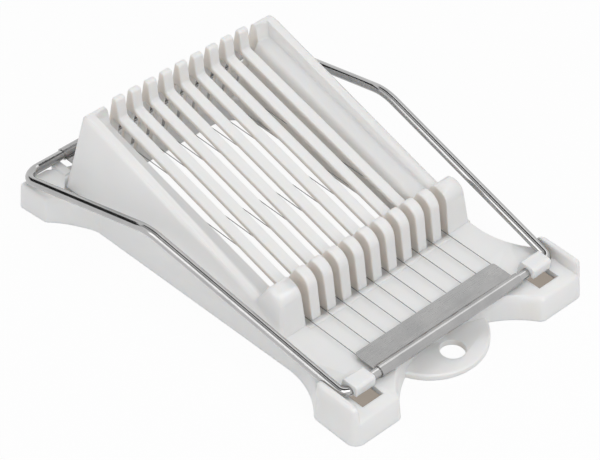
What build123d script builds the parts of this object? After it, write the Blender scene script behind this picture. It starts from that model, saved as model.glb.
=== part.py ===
from build123d import *
import os
from math import hypot, radians, sin, tan

# Millimetres. X runs across the wires, Y towards the rear fingers and Z up
# from the table. Places along Y are stated from the foot of the comb, and the
# whole slicer is moved at the end so that its footprint is centred.

# Wires and ribs
wire_count = 10
wire_pitch = 8.0
slot_width = 3.2
rib_width = wire_pitch - slot_width
wire_half_span = wire_pitch * (wire_count - 1) / 2
wire_diameter = 0.45
wire_radius = wire_diameter / 2
wire_sides = 8
wire_above_deck = 2.0
wire_notch_gap = 0.1
wire_front_reach = 2.7
wire_rear_reach = 5.0

# Base: heights and edges
deck_height = 11.0
skin = 2.2
draft_angle = 4.5
deck_bevel = 1.2
bevel_angle = 45.0
plinth_height = 0.5
plinth_front_y = -2.6
plinth_bevel = 0.4

# Footprint ends, which carry the hinge in front and the fingers behind
front_y = -51.1
rear_y = 137.6
hinge_setback = 13.5
hinge_y = front_y + hinge_setback
bar_setback = 1.6
bar_y = rear_y - bar_setback

# Side walls: both faces lean, the outer one also flares rearwards
wall_inner_foot = wire_half_span + slot_width / 2 - 0.3 * MM
wall_inner_lean = 0.03
wall_width = 13.45
wall_outer_foot = wall_inner_foot + wall_width
wall_outer_lean = 0.1
wall_flare = 0.029
wall_height = 60.0
wall_cove_setback = 35.6
wall_cove_y = rear_y - wall_cove_setback
rim_width = 6.15
rim_inner = wall_outer_foot - rim_width
rim_start = 15.7
rim_rise = 0.289
side_block_drop = 1.2
side_finger_drop = 1.7
wall_edge_bevel = 1.2

# Comb, inclined bed and rear fingers, profile points as (y, z)
comb_depth = 17.5
comb_front_top = (2.9, 30.8)
comb_back_top = (10.2, 30.8)
comb_crown_round = 6.2
comb_back_round = 2.6
bed_start = 12.1
bed_rise = 0.267
bed_foot_round = 1.5
bar_depth = 2.6
finger_foot_setback = 27.2
finger_foot_y = rear_y - finger_foot_setback
finger_foot_round = 1.8
finger_lean = 1.1
finger_front_top = (finger_foot_y + finger_lean, 50.6)
finger_bevel = 0.9
rear_face_setback = 12.2
rear_face_foot_y = rear_y - rear_face_setback
rear_face_slope = 0.2196
rear_wall_thickness = 2.3
rib_edge_bevel = 0.5

# Hinge clips, outside the front strip
front_strip_margin = 0.6
front_strip_half = wire_half_span + front_strip_margin
clip_inner = front_strip_half + 5.0 * MM
clip_length = 9.6
clip_outer = clip_inner + clip_length
clip_wall = 1.5
clip_back_reach = 5.0
clip_back_y = hinge_y + clip_back_reach
clip_lip_drop = 0.7
clip_top_round = 1.3

# Base: plan of the right half
foot_wall_gap = 6.2
foot_wall_width = 3.6
foot_wall_inner = clip_outer + foot_wall_gap
front_foot_half = foot_wall_inner + foot_wall_width
front_edge_depth = 18.8
front_middle = (3.0, front_y + front_edge_depth)
front_sweep_shares = (0.549, 0.25)
toe_width = 23.4
toe_corner = 4.6
toe_inner_round = 3.4
front_foot_length = 21.9
front_side_end_y = front_y + front_foot_length
front_side_round = 5.0
front_cove_shares = (0.7, 0.42)
waist_start_y = -5.0
waist_start_round = 12.0
waist_end_setback = 49.6
waist_end_y = rear_y - waist_end_setback
waist_end_round = 30.0
rear_cove_shares = (0.31, 0.66)
rear_reach = 15.9
rear_side_taper = 1.4
rear_foot_length = 16.4
rear_side_start_y = rear_y - rear_foot_length
rear_side_round = 3.0
heel_corner = 3.2
heel_width = 14.5
heel_inner_round = 4.0
rear_sweep_shares = (0.464, 0.722)
rear_edge_depth = 7.2
rear_recess = (30.0, rear_y - rear_edge_depth)
rear_recess_round = 12.0

# Cutting frame, bend corners of the rod
rod_diameter = 4.0
rod_radius = rod_diameter / 2
running_gap = 0.05
rest_gap = 0.3
sheet = 0.5
sleeve_bore = rod_radius + running_gap
sleeve_outer = sleeve_bore + sheet
pad_height = 0.6
sleeve_gap = 0.15
hinge_z = deck_height + sleeve_gap + sleeve_outer
hinge_overhang = 3.0
hinge_half = clip_outer + hinge_overhang
hinge_bend = 3.4
arm_spread = 7.4
arm_corner_setback = 75.1
arm_corner_y = bar_y - arm_corner_setback
arm_corner_z = 33.3
arm_bend = 26.0
bar_spread = 10.3
bar_z = deck_height + pad_height + rest_gap + rod_radius
bar_bend = 8.0
rod_end_gap = 0.6

# Wire strips
rear_strip_half = 44.0
front_lip_reach = 12.9
front_lip_y = hinge_y + front_lip_reach
rear_lip_reach = 11.1
rear_lip_y = bar_y - rear_lip_reach
lip_drop = 1.8
lip_bend = 1.6
strip_corner = 1.5
wire_top = deck_height + wire_above_deck
wire_front_y = hinge_y + wire_front_reach
wire_rear_y = bar_y - wire_rear_reach

# Raised foot walls, windows and rest pads
foot_wall_top = 17.0
foot_wall_setback = 1.2
foot_wall_length = 23.3
foot_wall_front_y = front_y + foot_wall_setback
foot_wall_rear_y = foot_wall_front_y + foot_wall_length
foot_wall_lean = 1.4
foot_wall_round = 3.0
foot_wall_bevel = 1.0
window_margin = 0.4
window_front_reach = 7.3
window_rear_reach = 1.2
window_y = (hinge_y - window_front_reach, hinge_y + window_rear_reach)
pad_x = (45.4, 49.6)
pad_front_reach = 8.6
pad_rear_reach = 0.2
pad_y = (bar_y - pad_front_reach, bar_y + pad_rear_reach)
pad_bevel = 0.5

# Hanging tab
tab_thickness = 2.6
tab_radius = 23.9
tab_centre_inset = 5.8
tab_centre_y = front_middle[1] + tab_centre_inset
tab_hole_radius = 5.1
tab_hole_reach = 7.7
tab_hole_y = front_middle[1] - tab_hole_reach
tab_edge_bevel = 0.7

# Open well below the bed
well_setback = 15.4
well_rear_y = rear_y - well_setback
well_corner = 15.0

toe_inner_half = front_foot_half - toe_width
rear_foot_half = wall_outer_foot + rear_reach
heel_inner_half = rear_foot_half - heel_width
rear_side_start = (rear_foot_half - rear_side_taper, rear_side_start_y)
bed_front = (comb_depth, bed_start + bed_rise * comb_depth)
bed_rear = (finger_foot_y, bed_start + bed_rise * finger_foot_y)
footprint_shift = -(front_y + bar_y + sleeve_outer) / 2
far = 4 * rear_y


def bed_height(y):
    return bed_start + bed_rise * y


def rim_height(y):
    return rim_start + rim_rise * y


def rear_face(z):
    return rear_face_foot_y - rear_face_slope * z


def wall_outer(y, z):
    return wall_outer_foot + wall_flare * y - wall_outer_lean * z


def wall_inner(z):
    return wall_inner_foot + wall_inner_lean * z


def between(start, end, shares):
    return tuple(a + (b - a) * share for a, b, share in zip(start, end, shares))


def across(profile, start, end):
    # Sweeps an outline drawn as (y, z) from one X to another.
    plane = Plane((start, 0, 0), x_dir=(0, 1, 0), z_dir=(1, 0, 0))
    return extrude(plane * profile, amount=end - start)


def slab(x_range, y_range, z_range):
    low = [min(pair) for pair in (x_range, y_range, z_range)]
    size = [max(pair) - min(pair) for pair in (x_range, y_range, z_range)]
    return Pos(*low) * Box(*size, align=(Align.MIN, Align.MIN, Align.MIN))


def bevelled(shape, length, test):
    # Bevels the edges whose midpoints pass the test.
    return chamfer([edge for edge in shape.edges() if test(edge @ 0.5)], length)


def largest(shape):
    return max(shape.solids(), key=lambda solid: solid.volume)


def both_sides(shape):
    return shape + mirror(shape, about=Plane.YZ)


waist_start = (wall_outer(waist_start_y, 0), waist_start_y)
waist_end = (wall_outer(waist_end_y, 0), waist_end_y)


def half_outline():
    # Right half of the footprint, from the middle of the front edge to the
    # middle of the rear edge.
    toe_inner = (toe_inner_half, front_y)
    side_end = (front_foot_half, front_side_end_y)
    heel_inner = (heel_inner_half, rear_y)
    front_flat = Line((0, front_middle[1]), front_middle)
    front_sweep = ThreePointArc(
        front_middle, between(front_middle, toe_inner, front_sweep_shares),
        toe_inner)
    toe = Line(toe_inner, (front_foot_half - toe_corner, front_y))
    toe_round = RadiusArc(
        toe @ 1, (front_foot_half, front_y + toe_corner), -toe_corner)
    front_side = Line(toe_round @ 1, side_end)
    front_cove = ThreePointArc(
        side_end, between(side_end, waist_start, front_cove_shares),
        waist_start)
    waist = Line(waist_start, waist_end)
    rear_cove = ThreePointArc(
        waist_end, between(waist_end, rear_side_start, rear_cove_shares),
        rear_side_start)
    rear_side = Line(rear_side_start, (rear_foot_half, rear_y - heel_corner))
    heel_round = RadiusArc(
        rear_side @ 1, (rear_foot_half - heel_corner, rear_y), -heel_corner)
    heel = Line(heel_round @ 1, heel_inner)
    rear_sweep = ThreePointArc(
        heel_inner, between(heel_inner, rear_recess, rear_sweep_shares),
        rear_recess)
    rear_flat = Line(rear_recess, (0, rear_recess[1]))
    return Curve() + [
        front_flat, front_sweep, toe, toe_round, front_side, front_cove,
        waist, rear_cove, rear_side, heel_round, heel, rear_sweep, rear_flat]


def wall_envelope(inset, foot):
    # The leaning block that bounds a side wall, its faces moved inwards.
    sections = []
    for y in (inset, rear_y):
        heights = (foot, wall_height)
        inner = [(wall_inner(z) + inset, z) for z in heights]
        outer = [(wall_outer(y, z) - inset, z) for z in heights]
        corners = [inner[0], outer[0], outer[1], inner[1]]
        points = [(x, y, z) for x, z in corners]
        sections.append(make_face(Polyline(*points, close=True)))
    return loft(sections, ruled=True)


def softened(profile, size, point, soften=fillet):
    # Rounds or bevels the corner of a flat outline nearest to a point.
    corner = min(
        profile.vertices(),
        key=lambda v: hypot(v.X - point[0], v.Y - point[1]))
    return soften(corner, size)


def side_outline(bed, under, comb_drop=0, finger_drop=0):
    # The shape seen from the side: comb front, crown, bed and rear finger,
    # closed below by the points of its underside. The bed is a list of
    # corners with their rounding radii.
    front_top = (comb_front_top[0], comb_front_top[1] - comb_drop)
    back_top = (comb_back_top[0], comb_back_top[1] - comb_drop)
    tip_z = finger_front_top[1] - finger_drop
    tip_front = (finger_front_top[0], tip_z)
    tip_rear = (rear_face(tip_z), tip_z)
    rounds = [
        (front_top, comb_crown_round),
        (back_top, comb_back_round),
        *bed]
    corners = [corner for corner, radius in rounds]
    profile = make_face(Polyline(
        (0, deck_height), *corners, tip_front, tip_rear, *under, close=True))
    for corner, radius in rounds:
        profile = softened(profile, radius, corner)
    for corner in (tip_front, tip_rear):
        profile = softened(profile, finger_bevel, corner, chamfer)
    return profile


def rod_wire(corners, bends):
    # A path through 3-D corners, each one replaced by a tangent arc.
    points = [Vector(*corner) for corner in corners]
    pieces = []
    start = points[0]
    for before, corner, after, bend in zip(
            points, points[1:], points[2:], bends):
        back = (before - corner).normalized()
        ahead = (after - corner).normalized()
        half_angle = radians(back.get_angle(ahead)) / 2
        reach = bend / tan(half_angle)
        toward = (back + ahead).normalized()
        middle = corner + toward * (bend / sin(half_angle) - bend)
        pieces.append(Line(start, corner + back * reach))
        pieces.append(ThreePointArc(
            corner + back * reach, middle, corner + ahead * reach))
        start = corner + ahead * reach
    pieces.append(Line(start, points[-1]))
    return Wire(pieces)


# Footprint, tall enough for the foot walls
right_half = half_outline()
outline = make_face(right_half.edges() + right_half.mirror(Plane.YZ).edges())
outline_rounds = (
    ((toe_inner_half, front_y), toe_inner_round),
    ((front_foot_half, front_side_end_y), front_side_round),
    (waist_start, waist_start_round),
    (waist_end, waist_end_round),
    (rear_side_start, rear_side_round),
    ((heel_inner_half, rear_y), heel_inner_round),
    (rear_recess, rear_recess_round),
)
for (corner_x, corner_y), corner_round in outline_rounds:
    for side in (1, -1):
        outline = softened(outline, corner_round, (side * corner_x, corner_y))


def block(height, bevel):
    # The footprint raised to a height, drafted, with its top edge bevelled.
    sides = extrude(outline, amount=height - bevel, taper=draft_angle)
    top = sides.faces().sort_by(Axis.Z)[-1]
    return sides + extrude(top, amount=bevel, taper=bevel_angle)


plate = block(deck_height, deck_bevel)
tall_block = block(foot_wall_top, foot_wall_bevel)

# Raised outer walls of the front feet, flush with the skirt
foot_wall_tops = (
    (foot_wall_front_y + foot_wall_lean, foot_wall_top),
    (foot_wall_rear_y - foot_wall_lean, foot_wall_top))
foot_wall_outline = make_face(Polyline(
    (foot_wall_front_y, deck_height - skin),
    *foot_wall_tops,
    (foot_wall_rear_y, deck_height - skin),
    close=True))
for corner in foot_wall_tops:
    foot_wall_outline = softened(foot_wall_outline, foot_wall_round, corner)
foot_wall = across(foot_wall_outline, foot_wall_inner, far)
foot_wall = largest(foot_wall & tall_block)
plate += both_sides(foot_wall)

# Rest pads for the rear bar
pad = bevelled(
    slab(pad_x, pad_y, (deck_height - skin, deck_height + pad_height)),
    pad_bevel, lambda p: p.Z > deck_height + pad_height / 2)
plate += both_sides(pad)

# Open well below the bed and the hollow underside, with skirts all round
wall_block = wall_envelope(0, -skin)
wall_blocks = both_sides(wall_block)
core_section = make_face(Polyline(
    *[(side * wall_inner(z), 0, z)
      for side, z in (
          (-1, -skin), (1, -skin), (1, wall_height), (-1, wall_height))],
    close=True))
core = extrude(core_section, amount=far, both=True)
well_z = (-skin, deck_height + skin)
well_x = (-wall_outer_foot, wall_outer_foot)
well = largest(slab(well_x, (comb_depth, well_rear_y), well_z) - wall_blocks)
well = fillet([
    edge for edge in well.edges()
    if (edge @ 0.5).Y > well_rear_y - skin
    and abs((edge @ 0.5).Z - deck_height / 2) < skin], well_corner)
well_rim = largest(
    slab(well_x, (comb_depth - skin, well_rear_y + skin), well_z) - wall_blocks)
hollow = extrude(
    offset(outline, amount=-skin), amount=deck_height - skin,
    taper=draft_angle)
hollow -= well_rim
plate -= hollow
plate -= well

# Windows below the hinge clips
for side in (1, -1):
    window_x = (
        side * (clip_inner - window_margin),
        side * (clip_outer + window_margin))
    plate -= slab(window_x, window_y, (-skin, deck_height + skin))

# The side walls take the waist, from the comb foot to the rear cove
behind_comb = make_face(Polyline(
    (0, -skin), (0, wall_height), (rear_face(wall_height), wall_height),
    (rear_face(-skin), -skin), close=True))
wall_zone = wall_blocks & across(behind_comb, -far, far)
waist_zone = slab((-far, far), (0, wall_cove_y), (-skin, wall_height)) - core
plate -= wall_zone
plate -= waist_zone
front_platform, rear_platform = sorted(
    plate.solids(), key=lambda solid: solid.center().Y)

# Low plinth in front of the comb
plinth = slab(
    (-wall_inner(deck_height), wall_inner(deck_height)),
    (plinth_front_y, 0), (deck_height - skin, deck_height + plinth_height))
plinth = bevelled(
    plinth, plinth_bevel,
    lambda p: p.Y < plinth_front_y + running_gap and p.Z > deck_height)
front_platform = largest(front_platform + plinth)

# Side wall: ledge at bed height, raised rim outside, hollow from below
comb_slope = (
    (bed_front[1] - comb_back_top[1] + side_block_drop)
    / (bed_front[0] - comb_back_top[0]))
rim_front_y = (
    (bed_front[1] - comb_slope * bed_front[0] - rim_start)
    / (rim_rise - comb_slope))
rim_front = (rim_front_y, rim_height(rim_front_y))
wall_foot = [(rear_face(0), 0), (0, 0)]
wall_drops = (side_block_drop, side_finger_drop)
bed = [(bed_front, bed_foot_round), (bed_rear, finger_foot_round)]
ledge_profile = side_outline(bed, wall_foot, *wall_drops)
rim_profile = side_outline([(rim_front, bed_foot_round)], wall_foot, *wall_drops)
wall = across(ledge_profile, 0, rim_inner) + across(rim_profile, rim_inner, far)
wall = largest(wall & wall_block)
upper = wall & slab((0, far), (-far, far), (deck_height, wall_height))
lower = wall & slab((0, far), (-far, far), (0, deck_height))
upper = bevelled(
    largest(upper), wall_edge_bevel,
    lambda p: abs(p.X - wall_outer(p.Y, p.Z)) < running_gap
    and p.Z > deck_height + running_gap)
wall = largest(upper + lower)
hollow_rear_z = bed_height(bed_rear[0]) - skin
hollow_profile = make_face(Polyline(
    (skin, -skin),
    (skin + comb_front_top[0], comb_front_top[1] - comb_crown_round),
    (comb_back_top[0] - skin / 2, comb_back_top[1] - comb_crown_round),
    (bed_front[0] - skin / 2, bed_front[1] - skin),
    (bed_rear[0], hollow_rear_z),
    (rear_face(hollow_rear_z) - skin, hollow_rear_z),
    (rear_face(-skin) - skin, -skin),
    close=True))
wall_hollow = across(hollow_profile, 0, far) & wall_envelope(skin, -skin)
wall = largest(wall - wall_hollow)

# Slicing rib: comb fin, inclined bar and rear finger in one piece
under_front = (comb_depth, bed_front[1] - bar_depth)
inner_rear_foot = rear_face(deck_height) - rear_wall_thickness
under_rear_y = (
    (inner_rear_foot + rear_face_slope * (deck_height - bed_start + bar_depth))
    / (1 + rear_face_slope * bed_rise))
under_rear = (under_rear_y, bed_height(under_rear_y) - bar_depth)
rib_under = [
    (rear_face(deck_height), deck_height), (inner_rear_foot, deck_height),
    under_rear, under_front, (comb_depth, deck_height)]
rib_profile = side_outline(bed, rib_under)
rib = bevelled(
    across(rib_profile, -rib_width / 2, rib_width / 2), rib_edge_bevel,
    lambda p: abs(abs(p.X) - rib_width / 2) < running_gap
    and p.Z > deck_height + running_gap
    and (
        p.Y < bed_front[0] - running_gap and p.Z > bed_height(p.Y)
        or p.Z > bed_height(p.Y) - bar_depth / 2
        or p.Y > rear_face(p.Z) - running_gap))

# Hinge clip: a hook over the rod that is open below its front lip
clip_radius = sleeve_bore + clip_wall
hinge_centre = Pos(hinge_y, hinge_z)
clip_tops = (
    (hinge_y - clip_radius, hinge_z + clip_radius),
    (hinge_y + clip_radius, hinge_z + clip_radius))
clip_outline = make_face(Polyline(
    (hinge_y - clip_radius, hinge_z - clip_lip_drop),
    *clip_tops,
    (clip_back_y, deck_height),
    (hinge_y, deck_height),
    (hinge_y, hinge_z - clip_lip_drop),
    close=True))
for corner in clip_tops:
    clip_outline = softened(clip_outline, clip_top_round, corner)
clip_mouth = make_face(Polyline(
    (hinge_y - far, hinge_z - clip_lip_drop),
    (hinge_y + sleeve_bore, hinge_z - clip_lip_drop),
    (hinge_y + sleeve_bore, -far),
    (hinge_y - far, -far),
    close=True))
clip_throat = make_face(Polyline(
    (hinge_y, hinge_z),
    (hinge_y + sleeve_bore, hinge_z),
    (hinge_y + sleeve_bore, -far),
    (hinge_y, -far),
    close=True))
clip_profile = (
    clip_outline - hinge_centre * Circle(sleeve_bore) - clip_mouth - clip_throat)
clip = largest(across(clip_profile, clip_inner, clip_outer))

# Hanging tab
tab = extrude(
    Pos(0, tab_centre_y) * Circle(tab_radius), amount=tab_thickness)
tab = bevelled(tab, tab_edge_bevel, lambda p: p.Z > tab_thickness / 2)
tab = largest(tab - tall_block)
tab -= Pos(0, tab_hole_y) * Cylinder(tab_hole_radius, 2 * far)

# Cutting frame rod, its two ends meeting inside the front sleeve
right_corners = [
    (rod_end_gap / 2, hinge_y, hinge_z),
    (hinge_half, hinge_y, hinge_z),
    (hinge_half + arm_spread, arm_corner_y, arm_corner_z),
    (hinge_half + bar_spread, bar_y, bar_z)]
left_corners = [(-x, y, z) for x, y, z in reversed(right_corners)]
rod_path = rod_wire(
    right_corners + left_corners,
    [hinge_bend, arm_bend, bar_bend, bar_bend, arm_bend, hinge_bend])
rod_start = Plane(origin=right_corners[0], z_dir=(1, 0, 0))
rod = sweep(rod_start * Circle(rod_radius), path=rod_path)

# Wires and the folded strips that hold them
wire_length = wire_rear_y - wire_front_y
wire_z = wire_top - wire_radius
wire_x = [
    wire_pitch * (index - (wire_count - 1) / 2) for index in range(wire_count)]
wire_section = Plane(
    origin=(0, wire_front_y, wire_z), x_dir=(1, 0, 0), z_dir=(0, 1, 0))
wire = extrude(
    wire_section * RegularPolygon(wire_radius, wire_sides), amount=wire_length)


def flat_sheet(start_y, end_y, low_z, high_z):
    return make_face(Polyline(
        (start_y, low_z), (end_y, low_z), (end_y, high_z), (start_y, high_z),
        close=True))


front_strip_profile = hinge_centre * Circle(sleeve_outer) + flat_sheet(
    hinge_y, front_lip_y, wire_top, wire_top + sheet)
front_strip_profile -= hinge_centre * Circle(sleeve_bore)
front_strip = across(front_strip_profile, -front_strip_half, front_strip_half)
front_strip = fillet([
    edge for edge in front_strip.edges()
    if abs((edge @ 0.5).Y - front_lip_y) < running_gap
    and abs(abs((edge @ 0.5).X) - front_strip_half) < running_gap], strip_corner)

bar_centre = Pos(bar_y, bar_z)
rear_flange = flat_sheet(rear_lip_y, bar_y, wire_top, wire_top + sheet)
rear_flange += flat_sheet(
    rear_lip_y, rear_lip_y + sheet, wire_top - lip_drop, wire_top + sheet)
rear_flange = softened(
    rear_flange, lip_bend, (rear_lip_y, wire_top + sheet), chamfer)
rear_flange = softened(
    rear_flange, lip_bend - sheet, (rear_lip_y + sheet, wire_top), chamfer)
rear_strip_profile = bar_centre * Circle(sleeve_outer) + rear_flange
rear_strip_profile -= bar_centre * Circle(sleeve_bore)
rear_strip = across(rear_strip_profile, -rear_strip_half, rear_strip_half)
notch_half = wire_radius + wire_notch_gap
for x in wire_x:
    rear_strip -= slab(
        (x - notch_half, x + notch_half),
        (rear_lip_y - sheet, rear_lip_y + lip_bend),
        (wire_top - 2 * lip_drop, wire_top))

nodes = {
    "front_platform": front_platform,
    "rear_platform": rear_platform,
    "hanging_tab": tab,
    "right_side_wall": wall,
    "left_side_wall": mirror(wall, about=Plane.YZ),
    "right_hinge_clip": clip,
    "left_hinge_clip": mirror(clip, about=Plane.YZ),
    "frame_rod": rod,
    "front_wire_strip": front_strip,
    "rear_wire_strip": rear_strip,
}
for index in range(wire_count - 1):
    x = wire_pitch * (index - (wire_count - 2) / 2)
    nodes[f"slicing_rib_{index + 1}"] = Pos(x, 0, 0) * rib
for index, x in enumerate(wire_x):
    nodes[f"cutting_wire_{index + 1:02d}"] = Pos(x, 0, 0) * wire

os.makedirs("parts", exist_ok=True)
for name, shape in nodes.items():
    placed = Pos(0, footprint_shift, 0) * shape
    solids = placed.solids()
    box = placed.bounding_box()
    print(name, len(solids), round(placed.volume, 1), placed.is_valid,
          [round(value, 2) for value in (*box.min, *box.max)])
    export_step(placed, f"parts/{name}.step")
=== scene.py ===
import bpy
import bmesh
from math import copysign, pi, radians
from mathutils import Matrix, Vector


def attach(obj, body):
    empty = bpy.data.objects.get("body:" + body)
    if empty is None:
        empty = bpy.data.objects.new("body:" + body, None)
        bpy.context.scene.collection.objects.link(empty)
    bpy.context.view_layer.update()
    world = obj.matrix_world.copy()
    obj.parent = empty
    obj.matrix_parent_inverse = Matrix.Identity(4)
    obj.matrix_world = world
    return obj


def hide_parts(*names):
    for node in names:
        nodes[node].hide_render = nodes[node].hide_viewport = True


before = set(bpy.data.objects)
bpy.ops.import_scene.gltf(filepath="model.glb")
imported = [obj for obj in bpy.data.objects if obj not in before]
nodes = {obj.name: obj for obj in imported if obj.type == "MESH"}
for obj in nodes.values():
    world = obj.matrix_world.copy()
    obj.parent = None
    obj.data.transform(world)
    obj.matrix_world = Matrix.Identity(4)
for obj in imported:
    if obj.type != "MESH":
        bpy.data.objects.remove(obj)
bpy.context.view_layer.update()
mm = 0.001
solidWeld = 0.002 * mm
flatWeight = 80  # how far large faces lead the shading of small ones


class Flow:
    # A node socket that takes part in ordinary sums.
    def __init__(self, bench, socket):
        self.bench = bench
        self.socket = socket

    def __add__(self, other): return self.bench.maths("ADD", self, other)
    def __radd__(self, other): return self.bench.maths("ADD", other, self)
    def __sub__(self, other): return self.bench.maths("SUBTRACT", self, other)
    def __rsub__(self, other): return self.bench.maths("SUBTRACT", other, self)
    def __mul__(self, other): return self.bench.maths("MULTIPLY", self, other)
    def __rmul__(self, other): return self.bench.maths("MULTIPLY", other, self)
    def __abs__(self): return self.bench.maths("ABSOLUTE", self)


class Bench:
    # A node tree, and the one way in which nodes are put into it.
    def __init__(self, tree):
        self.tree = tree
        self.tree.nodes.clear()

    def put(self, kind, settings, inputs):
        node = self.tree.nodes.new(kind)
        for name, value in settings.items():
            if name == "choices":
                while len(node.index_switch_items) < value:
                    node.index_switch_items.new()
            else:
                setattr(node, name, value)
        for name, value in inputs.items():
            for item in value if isinstance(value, list) else [value]:
                if isinstance(item, Flow):
                    self.tree.links.new(item.socket, node.inputs[name])
                else:
                    node.inputs[name].default_value = item
        return node

    def add(self, kind, settings, inputs, output=0):
        return Flow(self, self.put(kind, settings, inputs).outputs[output])

    def maths(self, operation, first, second=None):
        inputs = {0: first} if second is None else {0: first, 1: second}
        return self.add("ShaderNodeMath", {"operation": operation}, inputs)

    def parts(self, vector):
        split = self.put("ShaderNodeSeparateXYZ", {}, {0: vector})
        return [Flow(self, socket) for socket in split.outputs]

    def seen(self):
        # 1 for what the camera sees, also in metal and through clear things.
        path = self.put("ShaderNodeLightPath", {}, {})
        camera, clear, glossy = [
            Flow(self, path.outputs[ray])
            for ray in ("Is Camera Ray", "Is Transmission Ray", "Is Glossy Ray")]
        return self.maths("MAXIMUM", self.maths("MAXIMUM", camera, clear), glossy)


class Finish(Bench):
    # One material and the nodes that make it.
    def __init__(self, name):
        self.material = bpy.data.materials.new(name)
        self.material.use_nodes = True
        super().__init__(self.material.node_tree)

    def place(self, stretch=(1, 1, 1)):
        here = self.add("ShaderNodeTexCoord", {}, {}, "Object")
        return self.add("ShaderNodeMapping", {}, {"Vector": here, "Scale": stretch})

    def noise(self, scale, detail, stretch=(1, 1, 1), roughness=0.55):
        return self.add(
            "ShaderNodeTexNoise", {"noise_dimensions": "3D"},
            {"Vector": self.place(stretch), "Scale": scale, "Detail": detail,
             "Roughness": roughness})

    def spread(self, value, low, high, start=0.0, end=1.0):
        return self.add(
            "ShaderNodeMapRange", {"clamp": True, "interpolation_type": "SMOOTHSTEP"},
            {"Value": value, "From Min": low, "From Max": high, "To Min": start, "To Max": end})

    def within(self, value, low, high, edge):
        return self.spread(value, low - edge, low) * self.spread(value, high + edge, high)

    def tint(self, factor, first, second):
        return self.add(
            "ShaderNodeMix", {"data_type": "RGBA"}, {0: factor, 6: first, 7: second}, 2)

    def bump(self, height, inputs):
        return self.add("ShaderNodeBump", {}, {"Height": height, **inputs})

    def coat(self, inputs):
        return self.add("ShaderNodeBsdfPrincipled", {}, inputs)

    def close(self, shader):
        self.put("ShaderNodeOutputMaterial", {}, {"Surface": shader})
        return self.material


class Pattern(Bench):
    # A Geometry Nodes tree with named inputs.
    def __init__(self, name, sizes):
        tree = bpy.data.node_groups.new(name, "GeometryNodeTree")
        tree.interface.new_socket("Geometry", in_out="OUTPUT", socket_type="NodeSocketGeometry")
        super().__init__(tree)
        kinds = {int: "NodeSocketInt", float: "NodeSocketFloat", tuple: "NodeSocketVector"}
        self.sizes = sizes
        self.keys = {}
        for label, value in sizes.items():
            socket = tree.interface.new_socket(
                label, in_out="INPUT", socket_type=kinds[type(value)])
            self.keys[label] = socket.identifier
        self.source = self.put("NodeGroupInput", {}, {})

    def size(self, label):
        return Flow(self, self.source.outputs[label])

    def index(self):
        return self.add("GeometryNodeInputIndex", {}, {})

    def here(self):
        return self.parts(self.add("GeometryNodeInputPosition", {}, {}))

    def vector(self, x=0.0, y=0.0, z=0.0):
        return self.add("ShaderNodeCombineXYZ", {}, {0: x, 1: y, 2: z})

    def placed(self, shape, position):
        return self.add(
            "GeometryNodeSetPosition", {}, {"Geometry": shape, "Position": position})

    def moved(self, shape, offset):
        return self.add("GeometryNodeSetPosition", {}, {"Geometry": shape, "Offset": offset})

    def chain(self, count, position):
        # A curve through points whose places follow from their numbers.
        line = self.add("GeometryNodeMeshLine", {"mode": "OFFSET"}, {"Count": count})
        return self.add("GeometryNodeMeshToCurve", {}, {"Mesh": self.placed(line, position)})

    def row(self, shape, count, pitch):
        # Copies side by side, with the middle of the row at x = 0.
        line = self.add("GeometryNodeMeshLine", {"mode": "OFFSET"}, {
            "Count": count, "Start Location": self.vector(pitch * (count - 1) * -0.5),
            "Offset": self.vector(pitch)})
        return self.add("GeometryNodeInstanceOnPoints", {}, {"Points": line, "Instance": shape})

    def make(self, name, shape, finish):
        # Runs the tree once and keeps its result as a plain mesh.
        whole = self.add("GeometryNodeRealizeInstances", {}, {"Geometry": shape})
        whole = self.add("GeometryNodeSetMaterial", {}, {"Geometry": whole, "Material": finish})
        self.put("NodeGroupOutput", {}, {0: whole})
        holder = shown(name, bpy.data.meshes.new(name))
        rule = holder.modifiers.new("rule", "NODES")
        rule.node_group = self.tree
        for label, value in self.sizes.items():
            rule[self.keys[label]] = value
        return outward(plain(holder))


def shown(name, data):
    piece = bpy.data.objects.new(name, data)
    bpy.context.scene.collection.objects.link(piece)
    return piece


def plain(piece):
    # Turns a piece and its modifiers into a mesh of its own.
    bpy.context.view_layer.update()
    graph = bpy.context.evaluated_depsgraph_get()
    mesh = bpy.data.meshes.new_from_object(piece.evaluated_get(graph), depsgraph=graph)
    piece.modifiers.clear()
    piece.data = mesh
    return piece


def outward(piece):
    work = bmesh.new()
    work.from_mesh(piece.data)
    bmesh.ops.recalc_face_normals(work, faces=work.faces)
    openEdges = sum(1 for edge in work.edges if not edge.is_manifold)
    work.to_mesh(piece.data)
    work.free()
    print(piece.name, len(piece.data.polygons), "faces,", openEdges, "open edges")
    return piece


def flattened(work, corner):
    # Joins the facets of what is one flat face.
    bmesh.ops.dissolve_limit(
        work, angle_limit=radians(corner), verts=work.verts, edges=work.edges)


def welded(name, label, corner):
    # A joined-up copy of a solid.
    mesh = nodes[name].data.copy()
    mesh.name = label
    work = bmesh.new()
    work.from_mesh(mesh)
    bmesh.ops.remove_doubles(work, verts=work.verts, dist=solidWeld)
    if corner:
        flattened(work, corner)
    work.to_mesh(mesh)
    work.free()
    return shown(label, mesh)


def shaded(piece, crease):
    # Shades a piece smooth over its rounds and leaves real corners sharp.
    piece.data.shade_smooth()
    piece.data.set_sharp_from_angle(angle=radians(crease))
    return piece


def evened(piece, crease):
    # The same, and keeps its flats flat beside the rounds.
    weighted = shaded(piece, crease).modifiers.new("weighted", "WEIGHTED_NORMAL")
    weighted.keep_sharp = True
    weighted.weight = flatWeight
    return plain(piece)


def dressed(piece, finish, body, stoodFor):
    piece.data.materials.clear()
    piece.data.materials.append(finish)
    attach(piece, body)
    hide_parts(*stoodFor)
    return piece


def grey(level, warm=0.0):
    return (level + warm, level, level - warm, 1.0)


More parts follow.
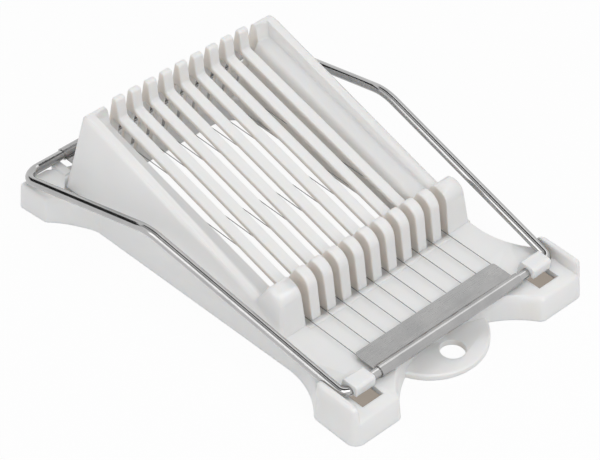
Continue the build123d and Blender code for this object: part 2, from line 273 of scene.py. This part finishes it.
plasticLook = {
    "colour": (0.820, 0.817, 0.808, 1.0),
    "paler": (0.840, 0.838, 0.831, 1.0),
    "roughness": (0.30, 0.36),
    "flowSize": 28.0,
    "cloudSize": 84.0,
    "flowShare": 0.7,
    "cloudRange": (0.2, 0.8),
    "grainSize": 2600.0,
    "grainBump": {"Distance": 0.02 * mm, "Strength": 0.08},
    "softEdge": 0.55 * mm,
    "softSamples": 6,
    # painted warm shade for the faces inside the slots
    "cheek": (0.822, 0.787, 0.743, 1.0),
    "slotShadeFacing": (0.6, 0.95),
    "slotReach": 38.5 * mm,  # from the middle of the bed to its side walls
    "slotFade": 0.5 * mm,
    "glow": 0.45,
    "glowColours": (1.0, 0.80, 0.64),
    "glowReach": 2.5 * mm,
}


def mouldedPlastic():
    look = plasticLook
    f = Finish("white moulded plastic")
    flow = f.noise(look["flowSize"], 2.0)
    cloud = f.noise(look["cloudSize"], 1.5)
    share = look["flowShare"]
    mottle = f.spread(flow * share + cloud * (1 - share), *look["cloudRange"])
    colour = f.tint(mottle, look["colour"], look["paler"])
    # Faces that look across the wires, in the slots, get a painted warm shade.
    facing = abs(f.parts(f.add("ShaderNodeTexCoord", {}, {}, "Normal"))[0])
    side = abs(f.parts(f.place())[0])
    reach = look["slotReach"]
    between = f.spread(side, reach + look["slotFade"], reach)
    paintedSlotShade = f.spread(facing, *look["slotShadeFacing"]) * between
    corner = f.add(
        "ShaderNodeBevel", {"samples": look["softSamples"]}, {"Radius": look["softEdge"]})
    grain = f.noise(look["grainSize"], 2.0)
    return f.close(f.coat({
        "Base Color": f.tint(paintedSlotShade, colour, look["cheek"]),
        "Roughness": f.spread(cloud, *look["cloudRange"], *look["roughness"]),
        "Normal": f.bump(grain, {**look["grainBump"], "Normal": corner}),
        "Specular IOR Level": 0.5, "Subsurface Weight": look["glow"],
        "Subsurface Radius": look["glowColours"], "Subsurface Scale": look["glowReach"]}))


steelLook = {
    "rod": {
        "level": 0.44, "roughness": (0.05, 0.14), "grain": 5200.0,
        "stretch": (1.0, 0.02, 1.0)},
    "strip": {
        "level": 0.40, "roughness": (0.24, 0.36), "grain": 9000.0,
        "stretch": (0.02, 1.0, 1.0), "flat": (-78.0 * mm, 88.0 * mm)},
    "wire": {
        "level": 0.30, "roughness": (0.22, 0.36), "grain": 6000.0,
        "stretch": (1.0, 0.02, 1.0)},
}

drawnLook = {
    "lineRange": (0.25, 0.75),
    "lineBump": {"Distance": 0.01 * mm, "Strength": 0.10},
    "cloudSize": 90.0,
    "cloudShare": 0.85,
    "shadeRange": (0.3, 0.7),
    "toneSpread": 0.03,
    "warmth": 0.004,
    "wearSize": 420.0,
    "wearRange": (0.50, 0.72),
    "wear": 0.06,
    "rubbed": 0.45,  # what rubbing leaves of the roughness
    "rubbedEdge": 0.4 * mm,
}


def drawnSteel(name):
    look = {**drawnLook, **steelLook[name]}
    f = Finish(name + " steel")
    lines = f.noise(look["grain"], 2.0, look["stretch"])
    cloud = f.noise(look["cloudSize"], 4.0)
    wear = f.spread(f.noise(look["wearSize"], 6.0, look["stretch"], 0.7), *look["wearRange"])
    share = look["cloudShare"]
    shade = f.spread(cloud * share + lines * (1 - share), *look["shadeRange"])
    rough = f.spread(lines, *look["lineRange"], *look["roughness"]) + wear * look["wear"]
    if "flat" in look:
        # The sleeves rolled round the rod are rubbed brighter than the flat.
        flat = f.within(f.parts(f.place())[1], *look["flat"], look["rubbedEdge"])
        rough = rough * (look["rubbed"] + flat * (1 - look["rubbed"]))
    dark, light = look["level"] - look["toneSpread"], look["level"] + look["toneSpread"]
    return f.close(f.coat({
        "Base Color": f.tint(shade, grey(dark), grey(light, look["warmth"])),
        "Metallic": 1.0, "Roughness": rough, "Normal": f.bump(lines, look["lineBump"])}))


plastic = mouldedPlastic()
steels = {name: drawnSteel(name) for name in steelLook}
print("finishes made")


baseMoulding = {
    "parts": (
        "front_platform", "rear_platform", "left_side_wall", "right_side_wall",
        "left_hinge_clip", "right_hinge_clip", "hanging_tab"),
    "wallEnds": (-43.725 * mm, 58.275 * mm),
    "flankFoot": 50.75 * mm,
    "flankFlare": 0.029,
    "flankLean": 0.1,
    "sweep": 9.0 * mm,  # the length over which a platform's flank becomes a wall's
    "sweepSlack": -0.01,
    "platformTop": 11.3 * mm,
    "rimStart": {"heights": (9.7 * mm, 10.8 * mm), "side": 52 * mm, "reach": 1.0 * mm},
    "rimMerge": 0.75 * mm,
    "weld": 0.004 * mm,
    "corner": 0.6,
    "crease": 32.0,
}


def wallFlank(y, z):
    look = baseMoulding
    along = y - look["wallEnds"][0]
    return look["flankFoot"] + look["flankFlare"] * along - look["flankLean"] * z


def sweptFlanks(work):
    # The flanks of the platforms run into those of the walls in a smooth sweep.
    look = baseMoulding
    front, rear = look["wallEnds"]
    for v in work.verts:
        flank = wallFlank(v.co.y, v.co.z)
        proud = abs(v.co.x) - flank
        past = max(front - v.co.y, v.co.y - rear) / look["sweep"]
        if look["sweepSlack"] < past < 1 and proud > 0 and v.co.z < look["platformTop"]:
            past = max(past, 0)
            v.co.x = copysign(flank + proud * past * (2 - past), v.co.x)
    # The rounded rim starts from one point of the flank, not from slivers.
    start = look["rimStart"]
    low, high = start["heights"]
    slivers = [
        v for v in work.verts
        if abs(v.co.y - rear) < start["reach"] and low < v.co.z < high
        and abs(v.co.x) > start["side"]]
    bmesh.ops.remove_doubles(work, verts=slivers, dist=look["rimMerge"])


def mouldedBase():
    # The platforms, walls, clips and tab as the one moulding that they are.
    look = baseMoulding
    first, *rest = look["parts"]
    base = welded(first, "mouldedBase", 0)
    for name in rest:
        other = welded(name, "joined", 0)
        union = base.modifiers.new("union", "BOOLEAN")
        union.operation = "UNION"
        union.solver = "MANIFOLD"
        union.object = other
        plain(base)
        bpy.data.objects.remove(other)
    work = bmesh.new()
    work.from_mesh(base.data)
    sweptFlanks(work)
    bmesh.ops.remove_doubles(work, verts=work.verts, dist=look["weld"])
    bmesh.ops.dissolve_degenerate(work, edges=work.edges, dist=look["weld"])
    flattened(work, look["corner"])
    work.to_mesh(base.data)
    work.free()
    return dressed(shaded(base, look["crease"]), plastic, "base", look["parts"])


base = mouldedBase()
print("base moulded", len(base.data.polygons))


ribLook = {
    "count": 9,
    "pitch": 8.0 * mm,
    "width": 4.8 * mm,
    "edgeRound": 0.8 * mm,
    "edgeSteps": 5,
    "cornerSteps": 7,
    "weld": 0.003 * mm,
    "rimDepth": 0.001 * mm,
    "crease": 40.0,
}

# A rib seen from the side, in millimetres, its depth counted from the comb.
ribSide = {
    "start": -43.725,
    "foot": 10.6,
    "combTop": 30.8,
    "combDepths": (2.9, 10.2),
    "finRear": 17.5,
    "bed": (12.1, 0.267),  # height at the comb, and rise
    "barDepth": 2.6,
    "rear": (125.4, 0.2196),  # depth at the table, and lean
    "rearWall": 2.3,
    "fingerTop": 50.6,
    "fingerDepths": (110.4, 111.5),  # at the bed and at the top
    "underRear": 38.0,
}


def ribCorners():
    # Depth, height and rounding of each corner, from the rear foot forwards
    # over the finger and the bed.
    side = ribSide
    foot, top, under = side["foot"], side["fingerTop"], side["underRear"]
    combFront, combBack = side["combDepths"]
    fingerFoot, fingerFront = side["fingerDepths"]
    fin, bar, wall = side["finRear"], side["barDepth"], side["rearWall"]
    def bed(y): return side["bed"][0] + side["bed"][1] * y
    def rear(z): return side["rear"][0] - side["rear"][1] * z
    return {
        "Rear Foot": (rear(foot), foot, 0.0),
        "Finger Rear": (rear(top), top, 1.25),
        "Finger Front": (fingerFront, top, 1.25),
        "Finger Foot": (fingerFoot, bed(fingerFoot), 1.8),
        "Bed Front": (fin, bed(fin), 1.5),
        "Comb Back": (combBack, side["combTop"], 2.6),
        "Comb Front": (combFront, side["combTop"], 6.2),
        "Comb Foot": (0.0, foot, 0.0),
        "Fin Rear Foot": (fin, foot, 0.0),
        "Under Front": (fin, bed(fin) - bar, 0.6),
        "Under Rear": (rear(under) - wall, bed(rear(under) - wall) - bar, 1.2),
        "Inner Rear Foot": (rear(foot) - wall, foot, 0.0),
    }


def ribOutline(g, corners):
    chosen = g.add(
        "GeometryNodeIndexSwitch", {"data_type": "VECTOR", "choices": len(corners)},
        {"Index": g.index(), **{n + 1: g.size(label) for n, label in enumerate(corners)}})
    along, up, rounding = g.parts(chosen)
    outline = g.chain(len(corners), g.vector(along, up))
    outline = g.add("GeometryNodeSetSplineCyclic", {}, {"Geometry": outline, "Cyclic": True})
    outline = g.add("GeometryNodeFilletCurve", {"mode": "POLY"}, {
        "Curve": outline, "Count": ribLook["cornerSteps"], "Radius": rounding,
        "Limit Radius": True})
    return g.add("GeometryNodeSetCurveNormal", {"mode": "Z_UP"}, {"Curve": outline})


def ribEdge(g, half, turn):
    # Two quarter rounds joined by the flat between.
    steps = ribLook["edgeSteps"]
    number = g.index()
    side = g.maths("GREATER_THAN", number, steps - 0.5)
    lean = (abs(number - (steps - 0.5)) - 0.5) * (pi / 2 / (steps - 1))
    inwards = (g.maths("COSINE", lean) - 1) * turn
    sideways = (half - turn + turn * g.maths("SINE", lean)) * (side * 2 - 1)
    return g.chain(2 * steps, g.vector(inwards, sideways))


def ribSolid(g, outline, edge, half):
    # The rounded edge all round, closed by a flat cheek on each side.
    skin = g.add("GeometryNodeCurveToMesh", {}, {"Curve": outline, "Profile Curve": edge})
    x, y, z = g.here()
    rimmed = g.maths("GREATER_THAN", z, half - ribLook["rimDepth"])
    rim = g.add("GeometryNodeMeshToCurve", {}, {"Mesh": skin, "Selection": rimmed})
    cheek = g.add("GeometryNodeFillCurve", {"mode": "NGONS"}, {"Curve": rim})
    level = g.placed(cheek, g.vector(x, y))
    near = g.moved(level, g.vector(0.0, 0.0, half))
    far = g.add("GeometryNodeFlipFaces", {}, {
        "Mesh": g.moved(level, g.vector(0.0, 0.0, half * -1))})
    rib = g.add("GeometryNodeJoinGeometry", {}, {"Geometry": [skin, near, far]})
    rib = g.add("GeometryNodeMergeByDistance", {}, {
        "Geometry": rib, "Distance": ribLook["weld"]})
    return g.placed(rib, g.vector(z, x, y))


def slicingRibs():
    look = ribLook
    corners = {
        label: ((y + ribSide["start"]) * mm, z * mm, turn * mm)
        for label, (y, z, turn) in ribCorners().items()}
    g = Pattern("slicingRibs", {
        "Rib Count": look["count"], "Rib Pitch": look["pitch"], "Rib Width": look["width"],
        "Edge Round": look["edgeRound"], **corners})
    half = g.size("Rib Width") * 0.5
    rib = ribSolid(g, ribOutline(g, corners), ribEdge(g, half, g.size("Edge Round")), half)
    ribs = g.row(rib, g.size("Rib Count"), g.size("Rib Pitch"))
    piece = evened(g.make("slicingRibs", ribs, plastic), look["crease"])
    names = [f"slicing_rib_{n + 1}" for n in range(look["count"])]
    return dressed(piece, plastic, "base", names)


slicingRibs()
print("ribs made")


wireLook = {
    "count": 10,
    "pitch": 8.0 * mm,
    "radius": 0.165 * mm,
    "top": 13.0 * mm,
    "span": (-78.6 * mm, 87.2 * mm),
    "lengths": 24,
    "sides": 14,
    "crease": 60.0,
}


def cuttingWires():
    look = wireLook
    front, rear = look["span"]
    g = Pattern("cuttingWires", {
        "Wire Count": look["count"], "Wire Pitch": look["pitch"], "Wire Radius": look["radius"],
        "Wire Top": look["top"], "Front End": front, "Rear End": rear})
    radius = g.size("Wire Radius")
    height = g.size("Wire Top") - radius
    path = g.add("GeometryNodeCurvePrimitiveLine", {}, {
        "Start": g.vector(0.0, g.size("Front End"), height),
        "End": g.vector(0.0, g.size("Rear End"), height)})
    path = g.add("GeometryNodeResampleCurve", {}, {"Curve": path, "Count": look["lengths"]})
    ring = g.add("GeometryNodeCurvePrimitiveCircle", {}, {
        "Resolution": look["sides"], "Radius": radius})
    wire = g.add("GeometryNodeCurveToMesh", {}, {
        "Curve": path, "Profile Curve": ring, "Fill Caps": True})
    wires = g.row(wire, g.size("Wire Count"), g.size("Wire Pitch"))
    piece = evened(g.make("cuttingWires", wires, steels["wire"]), look["crease"])
    names = [f"cutting_wire_{n + 1:02d}" for n in range(look["count"])]
    return dressed(piece, steels["wire"], "cutting_frame", names)


cuttingWires()
print("wires strung")


steelPieces = {
    "frameRod": {"node": "frame_rod", "corner": 0, "crease": 40.0, "steel": "rod"},
    "frontStrip": {"node": "front_wire_strip", "corner": 0.6, "crease": 40.0, "steel": "strip"},
    "rearStrip": {"node": "rear_wire_strip", "corner": 0.6, "crease": 40.0, "steel": "strip"},
}


def steelwork():
    for label, look in steelPieces.items():
        piece = evened(welded(look["node"], label, look["corner"]), look["crease"])
        steel = look["steel"]
        dressed(piece, steels[steel], "cutting_frame", [look["node"]])


steelwork()
for node in nodes.values():
    node.data.materials.clear()
    node.data.materials.append(plastic)
print("steelwork dressed")


stageLook = {
    "floorHalf": 3.0,
    "floorDrop": 0.2 * mm,
    "floorTones": (0.80, 0.83),
    "paperSize": 9.0,
    "paperSheen": {"Roughness": 0.7, "Specular IOR Level": 0.2},
    "whiteShare": 0.94,
    # Left, right, front and rear of the painted shade under each front foot.
    "footShade": (
        (-44.5 * mm, -31.0 * mm, -82.0 * mm, -70.0 * mm),
        (48.0 * mm, 60.4 * mm, -82.0 * mm, -70.5 * mm)),
    "shadeEdge": 0.3 * mm,
    # the colour of the painted shade under the front feet
    "paintedFootShade": (0.35, 0.305, 0.262, 1.0),
    "fill": 0.62,
    "fillColour": (0.80, 0.80, 0.81, 1.0),
}


def rectangle(name, halfX, halfY, finish):
    mesh = bpy.data.meshes.new(name)
    corners = [(-halfX, -halfY, 0), (halfX, -halfY, 0), (halfX, halfY, 0), (-halfX, halfY, 0)]
    mesh.from_pydata(corners, [], [(0, 1, 2, 3)])
    mesh.materials.append(finish)
    return shown(name, mesh)


def stageFloor():
    look = stageLook
    f = Finish("pale floor")
    darker, paler = look["floorTones"]
    speckle = f.noise(look["paperSize"], 3.0)
    paper = f.coat({
        "Base Color": f.tint(speckle, grey(darker), grey(paler)), **look["paperSheen"]})
    # Under the front feet, seen only through the two windows, the paper is painted in dark
    # shade.
    across, ahead, _ = f.parts(f.place())
    shade = 0.0
    for left, right, front, rear in look["footShade"]:
        sides = f.within(across, left, right, look["shadeEdge"])
        shade = sides * f.within(ahead, front, rear, look["shadeEdge"]) + shade
    tone = f.tint(f.maths("MINIMUM", shade, 1.0), (1, 1, 1, 1), look["paintedFootShade"])
    white = f.add("ShaderNodeEmission", {}, {"Color": tone, "Strength": 1.0})
    mixed = f.add("ShaderNodeMixShader", {}, {
        0: f.seen() * look["whiteShare"], 1: paper, 2: white})
    floor = rectangle("floor", look["floorHalf"], look["floorHalf"], f.close(mixed))
    floor.location.z = -look["floorDrop"]


def studioWorld():
    world = bpy.data.worlds.new("studio")
    world.use_nodes = True
    w = Bench(world.node_tree)
    soft = w.add("ShaderNodeBackground", {}, {
        "Color": stageLook["fillColour"], "Strength": stageLook["fill"]})
    white = w.add("ShaderNodeBackground", {}, {"Color": (1, 1, 1, 1), "Strength": 1.0})
    mixed = w.add("ShaderNodeMixShader", {}, {0: w.seen(), 1: soft, 2: white})
    w.put("ShaderNodeOutputWorld", {}, {"Surface": mixed})
    bpy.context.scene.world = world


lamps = {
    "key": {"place": (-0.15, -0.75, 0.95), "size": (0.9, 0.6), "watts": 5.3},
    "top": {"place": (0.35, 0.25, 1.25), "size": (1.0, 1.0), "watts": 2.7},
    "side": {"place": (-1.1, 0.25, 0.55), "size": (0.7, 0.7), "watts": 2.1},
}

lampAim = Vector((0.0, 0.0, 0.02))


def lampRow():
    for name, look in lamps.items():
        light = bpy.data.lights.new(name, "AREA")
        light.shape = "RECTANGLE"
        light.size, light.size_y = look["size"]
        light.energy = look["watts"]
        lamp = shown(name, light)
        lamp.location = look["place"]
        towards = lampAim - Vector(look["place"])
        lamp.rotation_euler = towards.to_track_quat("-Z", "Y").to_euler()


cardLook = {"cloudSize": 4.0, "unevenness": 1.3, "roughness": 0.9}

# Cards that only shiny surfaces see, for the dark and grey lines along the rod.
cards = {
    "overhead": {
        "place": (-0.42, 0.30, 0.95), "size": (0.20, 1.6), "turn": (0, 0, 0), "level": 0.01},
    "overheadRight": {
        "place": (0.20, 0.30, 1.00), "size": (0.60, 1.6), "turn": (0, 0, 0), "level": 0.16},
    "rearLeft": {
        "place": (-0.32, 1.10, 0.52), "size": (0.95, 0.50), "turn": (75, 0, 16), "level": 0.01},
    "frontLeft": {
        "place": (-1.15, -0.15, 0.45), "size": (1.1, 0.16), "turn": (70, 0, 82), "level": 0.05},
}


def darkCards():
    for name, look in cards.items():
        f = Finish(name + " card")
        level = look["level"]
        cloud = f.noise(cardLook["cloudSize"], 2.0)
        tone = f.tint(cloud, grey(level), grey(level * cardLook["unevenness"]))
        finish = f.close(f.coat({"Base Color": tone, "Roughness": cardLook["roughness"]}))
        width, depth = look["size"]
        card = rectangle(name, width / 2, depth / 2, finish)
        card.location = look["place"]
        card.rotation_euler = [radians(angle) for angle in look["turn"]]
        card.visible_camera = False
        card.visible_diffuse = False
        card.visible_shadow = False


cameraPlace = {
    "location": (-0.514763, -0.550918, 0.676009),
    "turn": (48.43571, -0.22446, -42.85091),
    "lens": 155.11,
    "sensor": 36.0,
    "nearest": 0.01,
}


def photoCamera():
    data = bpy.data.cameras.new("camera")
    data.sensor_width = cameraPlace["sensor"]
    data.lens = cameraPlace["lens"]
    data.clip_start = cameraPlace["nearest"]
    camera = shown("camera", data)
    camera.location = cameraPlace["location"]
    camera.rotation_euler = [radians(angle) for angle in cameraPlace["turn"]]
    bpy.context.scene.camera = camera


stageFloor()
studioWorld()
lampRow()
darkCards()
photoCamera()
bpy.context.scene.view_settings.view_transform = "Standard"
print("stage set")
